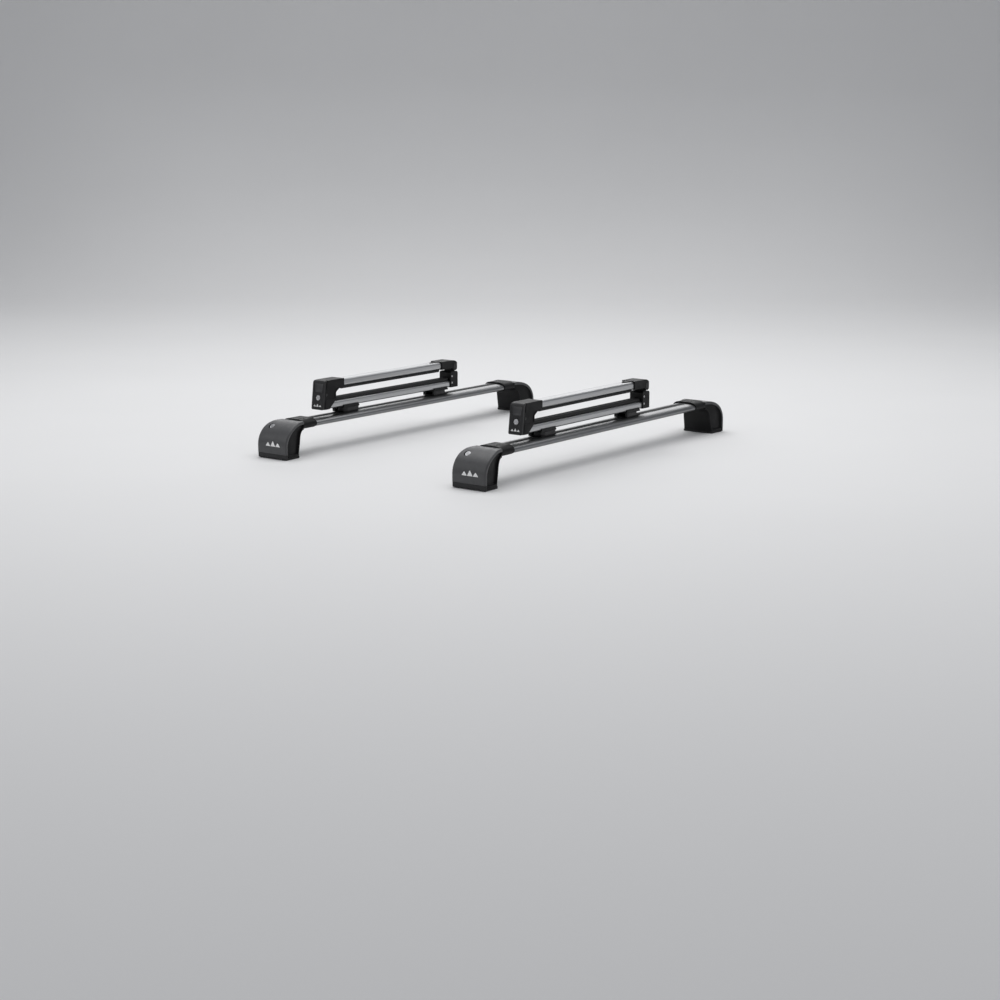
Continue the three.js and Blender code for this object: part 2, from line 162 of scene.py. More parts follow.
def rubber(name):
    """Extruded rubber: matt, with drawn lines, dusty bloom and tiny pits."""
    n = Nodes(name)
    bloom = n.spread(n.noise(40, 5, roughness=0.65), 0, 1, 0.42, 0.75)
    colour = n.mix(bloom, (0.010, 0.010, 0.0105), (0.026, 0.026, 0.027))
    drawn = n.noise(900, 2, (1, 0.02, 1))
    pits = n.noise(2200, 2)
    normal = n.bump(drawn, 0.00005, 0.6)
    normal = n.bump(pits, 0.00005, 0.5, normal)
    return n.set(Base_Color=colour, Roughness=n.spread(bloom, 0.72, 0.9, 0, 1), Normal=normal)


def steel(name, light=(0.72, 0.72, 0.73)):
    """Plated steel with turning marks and a little tarnish."""
    n = Nodes(name)
    cloud = n.noise(240, 4, roughness=0.6)
    colour = n.mix(n.spread(cloud, 0, 1, 0.4, 0.7), light, (0.48, 0.48, 0.49))
    fine = n.noise(3200, 1, (1, 1, 0.2))
    rough = n.spread(cloud, 0.2, 0.42)
    return n.set(Base_Color=colour, Roughness=rough, Normal=n.bump(fine, 0.00002, 0.5), Metallic=1.0)


def paint(name, colour, faded):
    """A printed mark, a little worn; the same recipe also gives the near-black painted shade in the lock
    recesses.
    """
    n = Nodes(name)
    wear = n.spread(n.noise(900, 3, roughness=0.7), 0, 0.6, 0.55, 0.75)
    fine = n.noise(2600, 2)
    rough = n.spread(fine, 0.35, 0.5)
    return n.set(Base_Color=n.mix(wear, colour, faded), Roughness=rough, Normal=n.bump(fine, 0.00002, 0.4))


def floor_paint(name):
    """The studio floor, faintly clouded."""
    n = Nodes(name)
    cloud = n.noise(1.4, 3)
    colour = n.mix(cloud, (0.76, 0.76, 0.76), (0.80, 0.80, 0.80))
    return n.set(Base_Color=colour, Roughness=n.spread(cloud, 0.75, 0.85))


ALUMINIUM = aluminium("anodised_aluminium")
BAR_ALUMINIUM = aluminium("bar_aluminium", (0.20, 0.203, 0.207), (0.27, 0.274, 0.278))
COVER = plastic("cover_grey", (0.056, 0.0565, 0.059), (0.067, 0.0675, 0.070), 0.40, 1700, 0.00004)
SKIRT = plastic(
    "skirt_grey", (0.018, 0.018, 0.019), (0.026, 0.026, 0.027), 0.50, 1500, 0.00005,
    worn=(0.08, 0.08, 0.08), shine=0.35,
)
BLACK = plastic(
    "moulded_black", (0.0035, 0.0035, 0.004), (0.0065, 0.0065, 0.007), 0.48, 1300, 0.00006,
    worn=(0.035, 0.035, 0.035), shine=0.22,
)
PANEL = plastic(
    "panel_black", (0.012, 0.0122, 0.013), (0.017, 0.0172, 0.018), 0.38, 1900, 0.00003,
    worn=(0.08, 0.08, 0.08), shine=0.4,
)
BUTTON = plastic(
    "button_grey", (0.038, 0.0385, 0.040), (0.048, 0.0485, 0.050), 0.42, 1500, 0.00005,
    worn=(0.14, 0.14, 0.14),
)
LEVER = plastic(
    "lever_black", (0.010, 0.010, 0.0105), (0.016, 0.016, 0.0165), 0.44, 1500, 0.00005,
    worn=(0.08, 0.08, 0.08), shine=0.4,
)
RUBBER = rubber("extruded_rubber")
STEEL = steel("plated_steel")
MARK = paint("mark_white", (0.92, 0.92, 0.91), (0.68, 0.68, 0.68))
# Painted shade: a near-black colour for the walls round the key locks, standing in for the shadow inside
# those recesses.
RECESS_SHADE = paint("painted_recess_shade", (0.006, 0.006, 0.006), (0.012, 0.012, 0.012))


# ---------------------------------------------------------------- mesh helpers
def mesh_of(points, faces):
    mesh = bpy.data.meshes.new("made")
    mesh.from_pydata([Vector(p) for p in points], [], faces)
    mesh.validate()
    bm = bmesh.new()
    bm.from_mesh(mesh)
    bmesh.ops.recalc_face_normals(bm, faces=bm.faces)
    bm.to_mesh(mesh)
    bm.free()
    return mesh


def loft(rings, caps=True):
    """Skins closed rings of points, all of one length."""
    count = len(rings[0])
    points = [p for ring in rings for p in ring]
    faces = []
    for r in range(len(rings) - 1):
        for i in range(count):
            j = (i + 1) % count
            a, b = r * count, (r + 1) * count
            faces.append((a + i, a + j, b + j, b + i))
    if caps:
        faces.append(tuple(range(count))[::-1])
        faces.append(tuple(range((len(rings) - 1) * count, len(rings) * count)))
    return mesh_of(points, faces)


def prism(outline, axis, low, high, steps=1):
    """An outline drawn across an axis: (y, z) along x, (x, z) along y, or (x, y) along z."""
    rings = []
    for k in range(steps + 1):
        t = low + (high - low) * k / steps
        if axis == "x":
            rings.append([(t, a, b) for a, b in outline])
        elif axis == "y":
            rings.append([(a, t, b) for a, b in outline])
        else:
            rings.append([(a, b, t) for a, b in outline])
    return loft(rings)


def bezier(a, b, c, d, steps):
    """Points along a cubic curve, with its first point left out."""
    out = []
    for k in range(1, steps + 1):
        t = k / steps
        s = 1 - t
        parts = zip(a, b, c, d)
        out.append(tuple(s**3 * p + 3 * s * s * t * q + 3 * s * t * t * r + t**3 * w for p, q, r, w in parts))
    return out


def arc(centre, radius, start, end, steps):
    """Points on an arc, angles in degrees, both ends included."""
    turn = [math.radians(start + (end - start) * k / steps) for k in range(steps + 1)]
    return [(centre[0] + radius * math.cos(t), centre[1] + radius * math.sin(t)) for t in turn]


def rounded(outline, radii, steps=5):
    """The outline with each corner rounded. radii is one radius, or one for each corner."""
    out = []
    count = len(outline)
    for i, corner in enumerate(outline):
        radius = radii[i] if isinstance(radii, (list, tuple)) else radii
        here = Vector(corner)
        before = Vector(outline[i - 1]) - here
        after = Vector(outline[(i + 1) % count]) - here
        angle = before.angle(after)
        reach = min(radius / math.tan(angle / 2), before.length * 0.49, after.length * 0.49)
        if radius <= 0 or reach < 1e-6:
            out.append(tuple(here))
            continue
        first, last = here + before.normalized() * reach, here + after.normalized() * reach
        for k in range(steps + 1):
            t = k / steps
            out.append(tuple(first * (1 - t) ** 2 + here * 2 * t * (1 - t) + last * t * t))
    return out


def boolean(base, cutters, operation="DIFFERENCE"):
    """A mesh with others cut from it, or joined to it."""
    held = bpy.data.objects.new("held", base)
    bpy.context.scene.collection.objects.link(held)
    tools = []
    for cutter in cutters:
        tool = bpy.data.objects.new("tool", cutter)
        bpy.context.scene.collection.objects.link(tool)
        tools.append(tool)
        change = held.modifiers.new("cut", "BOOLEAN")
        change.operation = operation
        change.solver = "EXACT"
        change.object = tool
    bpy.context.view_layer.update()
    graph = bpy.context.evaluated_depsgraph_get()
    made = bpy.data.meshes.new_from_object(held.evaluated_get(graph))
    for thing in [held, *tools]:
        bpy.data.objects.remove(thing)
    return made


def remeshed(mesh, voxel, smooth):
    """A mesh made again as one soft skin, as a moulding has."""
    held = bpy.data.objects.new("held", mesh)
    bpy.context.scene.collection.objects.link(held)
    skin = held.modifiers.new("skin", "REMESH")
    skin.mode = "VOXEL"
    skin.voxel_size = voxel
    soft = held.modifiers.new("soft", "SMOOTH")
    soft.factor = 0.5
    soft.iterations = smooth
    bpy.context.view_layer.update()
    graph = bpy.context.evaluated_depsgraph_get()
    made = bpy.data.meshes.new_from_object(held.evaluated_get(graph))
    bpy.data.objects.remove(held)
    return made


def place(mesh, name, matrix, material, body, nodes=(), bevel=0.0, segments=3, angle=32):
    """Puts a copy of a local mesh into the scene, as a piece that rides on a body."""
    copy = mesh.copy()
    copy.transform(matrix @ MM)
    if matrix.determinant() < 0:
        copy.flip_normals()
    copy.materials.clear()
    copy.materials.append(material)
    piece = bpy.data.objects.new(name, copy)
    bpy.context.scene.collection.objects.link(piece)
    soften(piece, bevel, segments, angle)
    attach(piece, body)
    if nodes:
        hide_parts(*nodes)


def soften(piece, bevel, segments=3, angle=32):
    """Rounds a piece's hard edges and evens out its shading."""
    piece.data.shade_smooth()
    if bevel:
        edge = piece.modifiers.new("edge", "BEVEL")
        edge.width = bevel * 0.001
        edge.segments = segments
        edge.limit_method = "ANGLE"
        edge.angle_limit = math.radians(angle)
        even = piece.modifiers.new("even", "WEIGHTED_NORMAL")
        even.keep_sharp = True


def middle(node):
    low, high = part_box(node)
    return (low + high) / 2


# ---------------------------------------------------------------- load bars
BAR_TOP = 97  # height of the load bar's top


def wing(grow=0.0, steps=14, crown=0.0):
    """The load bar's section, its top at z = 0. crown makes the top taller, for the foot's sleeve."""
    nose, top, base = 40 + grow, grow + crown, -22 - grow
    points = [(nose, -11)]
    points += bezier((nose, -11), (nose, -5 + top), (30, top), (15, top), steps)
    points += [(-13, top)]
    tail, heel = (-nose + 1.5, -12), (-nose + 4, -18 - grow)
    points += bezier((-13, top), (-24 - 1.5 * crown, top), (-34 - crown, -4 + top), tail, steps)
    points += bezier(tail, (-nose - 0.6, -14.5), (-nose, -17 - grow), heel, 6)
    points += bezier(heel, (-20, base), (-6, base), (12, base), steps)
    points += bezier((12, base), (30, base), (nose, -18), (nose, -11), steps)
    return points[:-1]


def build_load_bar(bar):
    node = f"{bar}_load_bar"
    low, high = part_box(node)
    at = Matrix.Translation((middle(node).x, 0, high.z))
    half = (high.y - low.y) * 500
    section = wing()
    cut = next(i for i, p in enumerate(section) if p == (-13, 0))
    slot = [(11.3, 0), (11.3, -1.6), (5.5, -1.6), (5.5, -4.4), (12, -4.4), (12, -12)]
    slot += [(-12, -12), (-12, -4.4), (-5.5, -4.4), (-5.5, -1.6), (-11.3, -1.6), (-11.3, 0)]
    outline = section[:cut] + slot + section[cut:]
    skin = prism(outline, "y", -half, half, 4)
    place(skin, f"{bar}_bar_skin", at, BAR_ALUMINIUM, "rack", [node], bevel=0.25, segments=2, angle=50)

    strip = [(-11, -1.3), (-5.2, -1.3), (-5.2, -4), (5.2, -4), (5.2, -1.3), (11, -1.3)]
    strip += [(10.9, -0.2), (10.3, 0.32), (8.6, 0.4), (8.2, 0), (7.4, 0), (7, 0.4)]
    strip += [(0.6, 0.4), (0.25, -0.7), (-0.25, -0.7), (-0.6, 0.4)]
    strip += [(-7, 0.4), (-7.4, 0), (-8.2, 0), (-8.6, 0.4), (-10.3, 0.32), (-10.9, -0.2)]
    low, high = (c * 1000 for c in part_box(f"{bar}_slot_strip"))
    mounts = [[c.y * 1000 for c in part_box(f"{bar}_{side}_mount")] for side in SIDES]
    under = 16  # how far each run of the strip reaches in under a mount
    (a0, a1), (b0, b1) = mounts
    runs = [(low.y, a0 + under), (a1 - under, b0 + under), (b1 - under, high.y)]
    for k, (start, end) in enumerate(runs):
        nodes = [f"{bar}_slot_strip"] if k == 0 else []
        run = prism(strip, "y", start, end, 2)
        place(run, f"{bar}_strip_{k + 1}", at, RUBBER, "rack", nodes, bevel=0.12, segments=2)


# ---------------------------------------------------------------- feet
# x runs across a foot, u in from its outer face (as y), and z up.
TALL = 99
BEND_IN, BEND_RISE = 75, 63  # how far in the shoulder's curve reaches, and how tall it is
BEND_Z = TALL - BEND_RISE
LOCK_X, LOCK_ANGLE, LOCK_TILT = -28, 55, 44  # where the lock is on the shoulder, and its axis
SKIRT_TOP = 15
COVER_END, REACH = 88, 142  # where the cover and the sleeve end
NECK = 42.6  # half the foot's width at the sleeve


def half_width(u):
    """Half the foot's width at a depth u, as the CAD's plan has it."""
    curve = [(54, 18)] + bezier((54, 18), (53, 50), (44, 72), (NECK, COVER_END), 24)
    for (w0, u0), (w1, u1) in zip(curve, curve[1:]):
        if u <= u1:
            return w0 + (w1 - w0) * max(u - u0, 0) / (u1 - u0)
    return NECK


def shoulder_point(degrees, offset=0.0):
    """A point (u, z) on the cover's rounded shoulder, and the way out of it."""
    cos, sin = math.cos(math.radians(degrees)), math.sin(math.radians(degrees))
    out = Vector((-BEND_RISE * cos, BEND_IN * sin)).normalized()
    return (BEND_IN - (BEND_IN - offset) * cos, BEND_Z + (BEND_RISE - offset) * sin), out


def foot_path(steps=30):
    """Stations up the cover: its point (u, z), the way inwards, and how far the surface sinks there."""
    flush = 0.4
    stations = [((0, z), (1, 0), flush) for z in (SKIRT_TOP + 0.4, 18, 24, 30)]
    for k in range(steps + 1):
        point, out = shoulder_point(90 * k / steps)
        stations.append((point, (-out.x, -out.y), flush))
    for u, sink in ((79, flush), (84, flush), (86.6, flush), (87.5, 0.7), (COVER_END, 1.4)):
        stations.append(((u, TALL), (0, -1), sink))
    return stations


def skirt_path():
    """Stations up the dark skirt along the cover's lower edge."""
    levels = ((2, 1.7), (2.6, 1.3), (8, 1.1), (13, 0.9), (SKIRT_TOP - 0.3, 0.9))
    return [((0, z), (1, 0), sink) for z, sink in levels]


def cover_shell(path):
    """A bent sheet with rounded side edges that wrap round the leg, and a real thickness."""
    thick, corner, wrap = 2.4, 3.6, 8.0
    turns = [math.radians(15 * k) for k in range(1, 7)]
    rings = []
    for (u, z), (iu, iz), sink in path:
        wide = half_width(u)
        across = []
        for depth in (wrap, wrap - 2, corner):
            across.append((-wide + 0.2 * (depth > corner), depth))
        across += [(-wide + corner * (1 - math.cos(a)), corner * (1 - math.sin(a))) for a in turns]
        across += [(x * (wide - corner), 0) for x in (-0.75, -0.5, -0.25, 0, 0.25, 0.5, 0.75)]
        across += [(-x, d) for x, d in across[:9][::-1]]
        inner = []
        for x, d in across[::-1]:
            edge = wide - thick
            inner.append((max(-edge, min(edge, x)), max(d, thick) if abs(x) < edge else d))
        ring = []
        for x, d in across + inner:
            crown = 0.35 * (x / wide) ** 2
            depth = min(d + sink + crown, wrap + 1)
            ring.append((x, u + iu * depth, z + iz * depth))
        rings.append(ring)
    return loft(rings)


def lock_frame():
    """Where the key lock's axis meets the shoulder: z points out along it."""
    u, z = shoulder_point(LOCK_ANGLE)[0]
    tilt = math.radians(LOCK_TILT)
    out = Vector((0, -math.cos(tilt), math.sin(tilt)))
    side = Vector((1, 0, 0))
    basis = Matrix((side, out.cross(side), out)).transposed().to_4x4()
    return Matrix.Translation((LOCK_X, u, z)) @ basis


def turned(profile, sides=40):
    """A lathed shape from (radius, height) points, closed at the axis."""
    turns = [2 * math.pi * k / sides for k in range(sides)]
    return loft([[(r * math.cos(a), r * math.sin(a), h) for a in turns] for r, h in profile])


def moved(mesh, matrix):
    copy = mesh.copy()
    copy.transform(matrix)
    return copy


def foot_moulding():
    """The black moulding behind the cover: a hollow-sided leg, flanged round its inner curve."""
    lip = COVER_END + 0.3

    def side_view(rim, inner, foot, end=lip):
        outline = [(rim, foot), (rim, BEND_Z)]
        outline += [shoulder_point(4.5 * k, rim)[0] for k in range(1, 21)]
        outline += [(end, TALL - rim), (end, 75 + inner)]
        if end > lip:
            outline.append((lip, 75 + inner))
        knee = (68 - inner, 46)
        outline += bezier((lip, 75 + inner), (76 - inner / 2, 74 + inner), (70 - inner, 64), knee, 16)
        outline += bezier(knee, (67 - inner, 38), (62.5 - inner, 24), (60.5 - inner, 12), 8)
        if foot < 12:
            outline.append((61 - inner, foot))
        return outline

    def plan(inset):
        side = [(half_width(u) - inset, u) for u in range(0, COVER_END + 1, 4)]
        right = [(side[0][0], -2)] + side + [(NECK - inset, REACH + 2)]
        return right + [(-x, u) for x, u in right[::-1]]

    def leg(view, inset):
        block = prism(view, "x", -56, 56)
        return boolean(block, [prism(plan(inset), "z", -1, 101)], "INTERSECT")

    web = leg(side_view(3.6, 0, 6.3), 7)
    frame_cut = prism(side_view(9.5, 4.5, -5, 140), "x", -60, 60)
    frame_edge = boolean(leg(side_view(3.6, 0, 6.3), 3.6), [frame_cut])
    flange_cut = prism(side_view(11, 4.5, 12, 140), "x", -60, 60)
    flange = boolean(leg(side_view(12, 0, 6.3), 1), [flange_cut])
    sleeve = prism(wing(1.6, crown=2.4), "y", COVER_END - 1, REACH - 20)
    sleeve.transform(Matrix.Translation((0, 0, BAR_TOP)))
    body = boolean(web, [frame_edge, flange, sleeve], "UNION")
    socket = prism(wing(0.5), "y", 103, REACH + 4)
    socket.transform(Matrix.Translation((0, 0, BAR_TOP)))
    pocket = prism([(-32, 0), (32, 0), (32, 22), (-32, 22)], "z", 5, 62)
    near, far = LOCK_X - 13, LOCK_X + 13
    well = prism([(near, -1), (far, -1), (far, 47), (near, 47)], "z", 71, 110)
    body = boolean(body, [socket, pocket, well])
    return remeshed(body, 0.75, 12)


def foot_sleeve():
    """The collar that the load bar slides into, with grooves along its top and a thinner lip."""
    collar = prism(wing(2.0, crown=3), "y", COVER_END + 0.5, REACH - 2)
    lip = prism(wing(1.2, crown=2.6), "y", REACH - 3, REACH)
    grooves = []
    for x in (-17, -10.5, 10.5, 17):
        groove = [(x - 0.9, 4.2), (x + 0.9, 4.2), (x + 0.9, 8), (x - 0.9, 8)]
        grooves.append(prism(groove, "y", COVER_END + 6, REACH - 7))
    collar = boolean(collar, [lip], "UNION")
    collar = boolean(collar, [prism(wing(0.5), "y", COVER_END - 2, REACH + 4), *grooves])
    collar.transform(Matrix.Translation((0, 0, BAR_TOP)))
    return collar


def peaks(width, height, thick):
    """The plain mark on the covers and panels: three peaks, drawn in (x, z) and standing out along -y."""
    half = width / 2
    tall = [0.72, 1.0, 0.72]
    meshes = []
    for k, centre in enumerate((-0.68, 0.0, 0.68)):
        wide = half * (0.32 if k != 1 else 0.33)
        top = height * tall[k]
        x, tip = centre * half, wide * 0.12
        outline = [(x - wide, 0), (x + wide, 0), (x + tip, top), (x - tip, top)]
        meshes.append(prism(rounded(outline, 0.5, 3), "y", -thick, 0.4))
    return meshes


def join(meshes):
    """One mesh of several, left overlapping."""
    bm = bmesh.new()
    for mesh in meshes:
        bm.from_mesh(mesh)
    made = bpy.data.meshes.new("joined")
    bm.to_mesh(made)
    bm.free()
    return made


def build_feet():
    hole = moved(turned([(9.6, -14), (9.6, 9)]), lock_frame())
    cover = boolean(cover_shell(foot_path()), [hole])
    skirt = cover_shell(skirt_path())
    moulding = foot_moulding()
    sleeve = foot_sleeve()
    # The cup lines the cover's lock hole; its near-black colour is painted shade for the hole's shadowed
    # wall.
    cup = boolean(turned([(9.5, -11), (9.5, -3.0)]), [turned([(8.7, -9.8), (8.7, 2)])])
    cup = moved(cup, lock_frame())
    face = [(7.7, -3.1), (6.2, -3.05), (5.9, -3.4), (2.9, -3.4), (2.7, -3.1)]
    key_slot = prism([(-0.55, -2.1), (0.55, -2.1), (0.55, 2.1), (-0.55, 2.1)], "z", -6.5, 0)
    barrel = moved(boolean(turned([(8.4, -9.6), (8.4, -3.7)] + face), [key_slot]), lock_frame())
    mark = join(peaks(54, 14, 0.28))
    mark.transform(Matrix.Translation((5, 0.5, 36)))
    pad_plan = [(-51, 4.5), (-34, 4.5), (-34, 22), (34, 22), (34, 4.5), (51, 4.5), (50, 62), (-50, 62)]
    pad = prism(rounded(pad_plan, [2, 1.5, 2, 2, 1.5, 2, 7, 7]), "z", 0, 6)
    bolt = turned([(3.1, 0), (3.1, -18)])
    socket = prism(arc((0, 0), 3.1, 0, 300, 5), "z", 1.6, 9)
    head = boolean(turned([(9.2, 0), (9.2, 1.0), (7.0, 1.05), (7.0, 2.8), (6.4, 3.3)]), [socket])
    face_on = Matrix.Translation((0, 11.8, 30)) @ Matrix.Rotation(math.radians(90), 4, "X")
    bolt = moved(join([bolt, head]), face_on)
    for bar in BARS:
        for side in SIDES:
            name = f"{bar}_{side}_foot"
            low, high = (Vector(c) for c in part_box(f"{name}_cover"))
            face, way = (low.y, 1) if side == "near" else (high.y, -1)
            at = Matrix.Translation(((low.x + high.x) / 2, face, 0)) @ Matrix.Scale(way, 4, (0, 1, 0))
            shell, lock = f"{bar}_{side}_cover", f"{bar}_{side}_lock"
            sheet = {"bevel": 0.35, "segments": 2, "angle": 40}
            place(cover, f"{name}_shell", at, COVER, shell, [f"{name}_cover"], **sheet)
            place(skirt, f"{name}_skirt", at, SKIRT, shell, **sheet)
            place(moulding, f"{name}_moulding", at, BLACK, "rack", [f"{name}_body"])
            place(sleeve, f"{name}_sleeve", at, BLACK, "rack", bevel=0.5, segments=2, angle=40)
            # The lock cup carries painted shade: near-black where the lock recess falls into shadow.
            place(cup, f"{name}_lock_cup", at, RECESS_SHADE, shell, bevel=0.2, segments=2)
            place(barrel, f"{name}_key_barrel", at, STEEL, lock, [f"{name}_lock"], bevel=0.15, segments=2)
            place(mark, f"{name}_mark", at, MARK, shell, bevel=0.1, segments=2)
            place(pad, f"{name}_sole", at, RUBBER, "rack", [f"{name}_pad"], bevel=0.9)
            place(bolt, f"{name}_clamp_bolt", at, STEEL, f"{bar}_{side}_jaw", bevel=0.3, segments=2)


# ---------------------------------------------------------------- ski clamps
# y runs in from the front panel's lower edge, and z up from the lower arm's underside.
PANEL_TOP = 74  # where the front panel's flat face ends
LEAN = 9.3 / PANEL_TOP  # how far the face leans in for each millimetre of height
CASE_HALF = 22  # half the width of the latch housing and hinge cap
HINGE_Y, HINGE_Z = 598, 64
LOCK_Z = 33.5


def arm_outline(grow=0.0, slot=True):
    """The arm's section, its slot for the rubber on top."""
    low, high, half, r = -grow, 20 + grow, 19 + grow, 6 + grow
    points = arc((half - r, low + r), r, -90, 0, 8) + arc((half - r, high - r), r, 0, 90, 8)
    if slot:
        points += [(6, 20), (6, 17.5), (9, 17.5), (9, 14.8)]
        points += [(-9, 14.8), (-9, 17.5), (-6, 17.5), (-6, 20)]
    points += arc((-half + r, high - r), r, 90, 180, 8) + arc((-half + r, low + r), r, 180, 270, 8)
    return points


def over(outline):
    """A section turned over, to hang from the upper arm."""
    return [(x, 80 - z) for x, z in outline[::-1]]


def housing():
    """The latch's hollow case, with a scooped recess in each side."""
    side = [(6, 0), (6 + 72.6 * LEAN, 72.6), (21, 79.5), (21, 82.5), (92, 82.5)]
    side += [(92, 58.3), (75, 58.3), (57, 46), (57, 25), (28, 0)]
    side = rounded(side, [1.2, 1, 0.5, 0.6, 3.2, 1.6, 5, 7, 5, 2])
    shell = prism(side, "x", -CASE_HALF, CASE_HALF)
    works = prism([(-19.6, -5), (19.6, -5), (19.6, 54.5), (-19.6, 54.5)], "z", -5, 56)
    bar_way = prism([(-19.6, 50), (19.6, 50), (19.6, 70), (-19.6, 70)], "z", -6, 31)
    button_way = prism([(-19.6, -5), (19.6, -5), (19.6, 20), (-19.6, 20)], "z", 55, 76)
    socket = prism(over(arm_outline(0.3, slot=False)), "y", 23.7, 96)
    scoop = [(13.5, 27.5), (53.5, 27.5), (53.5, 47), (68, 56.6), (68, 57.8), (16.5, 57.8)]
    scoop = rounded(scoop, [1.5, 5, 6, 3, 1.5, 3])
    scoops = [prism(scoop, "x", x0, x1) for x0, x1 in ((20.6, 25), (-25, -20.6))]
    relief = [(4, -2), (10.5, -2), (10.5 + PANEL_TOP * LEAN, PANEL_TOP), (24, 90), (4, 90)]
    reliefs = [prism(relief, "x", x0, x1) for x0, x1 in ((21.2, 25), (-25, -21.2))]
    return boolean(shell, [works, bar_way, button_way, socket, *scoops, *reliefs])


def panel():
    """The front panel, with its window for the button and its hole for the lock."""
    top = PANEL_TOP * LEAN
    bevel = bezier((top, PANEL_TOP), (top + 0.9, 79), (13, 82.4), (18, 82.4), 8)
    side = [(0.2, 0), (top, PANEL_TOP)] + bevel + [(20, 82.4), (20, 80), (5 + 73 * LEAN, 73), (5, 0)]
    slab = prism(side, "x", -CASE_HALF, CASE_HALF)
    corners = rounded([(-22, -0.1), (22, -0.1), (22, 82.6), (-22, 82.6)], [4.5, 4.5, 5.5, 5.5], 7)
    slab = boolean(slab, [prism(corners, "y", -5, 40)], "INTERSECT")
    window = rounded([(-14.2, 49.2), (14.2, 49.2), (16.9, 74.2), (-16.9, 74.2)], [4, 4, 1.6, 1.6], 6)
    window = prism(window, "y", -5, 30)
    lock = moved(turned([(11.2, -12), (11.2, 6)]), panel_frame())
    return boolean(slab, [window, lock])


def panel_frame():
    """Where the key lock stands on the panel: z points out of it."""
    out = Vector((0, -1, LEAN)).normalized()
    side = Vector((1, 0, 0))
    basis = Matrix((side, out.cross(side), out)).transposed().to_4x4()
    return Matrix.Translation((0, LOCK_Z * LEAN, LOCK_Z)) @ basis


def button():
    """The release button: a dished thumb pad, narrower at its foot."""
    rings = []
    for k in range(19):
        t = k / 18
        z = 49.7 + 24 * t
        wide = 13.8 + 2.7 * t
        fade = min(1, 5 * t, 4 * (1 - t))
        row = []
        for i in range(17):
            s = -1 + i / 8
            dish = 3.0 * fade * (1 - abs(s) ** 3.2)
            row.append((s * wide * (1 - 0.10 * (t < 0.06)), 0.9 + z * LEAN + dish, z))
        back = [(x, z * LEAN + 6.8, z) for x, _, z in row[::-1]]
        rings.append(row + back)
    return loft(rings)


def hinge_shell():
    """The cap on the upper arm's end, forked round the hinge post."""
    side = [(533, 58.3), (582, 58.3), (587, 57)]
    side += arc((HINGE_Y, HINGE_Z), 13, 222, 360, 16)
    side += bezier((HINGE_Y + 13, HINGE_Z), (HINGE_Y + 13, 76), (600, 82.5), (585, 82.5), 12)
    side += [(533, 82.5)]
    block = prism(side, "x", -CASE_HALF, CASE_HALF)
    plan = rounded([(-22, 532.8), (22, 532.8), (22, 611.2), (-22, 611.2)], [3, 3, 6, 6], 6)
    block = boolean(block, [prism(plan, "z", 40, 90)], "INTERSECT")
    way = [(578.6, 40), (620, 40), (620, 90), (604, 90), (603, 74), (578.6, 74)]
    socket = prism(over(arm_outline(0.3, slot=False)), "y", 530, 578.4)
    bore = prism(arc((HINGE_Y, HINGE_Z), 3.8, 0, 345, 23), "x", -30, 30)
    return boolean(block, [prism(way, "x", -14.5, 14.5), socket, bore])


def screw(radius):
    """A pan-head screw with a star socket, standing out along z."""
    star = []
    for k in range(24):
        turn = math.radians(15 * k)
        reach = radius * (0.42 + 0.09 * math.cos(6 * turn))
        star.append((reach * math.cos(turn), reach * math.sin(turn)))
    head = turned([(radius, -2.5), (radius, 0.35), (radius * 0.9, 0.7), (radius * 0.62, 0.9)], 28)
    return boolean(head, [prism(star, "z", -0.6, 3)])


def sideways(sign, y, z, x=CASE_HALF):
    """A place on the clamp's side, with z turned to point out of it."""
    return Matrix.Translation((sign * x, y, z)) @ Matrix.Rotation(math.radians(90 * sign), 4, "Y")


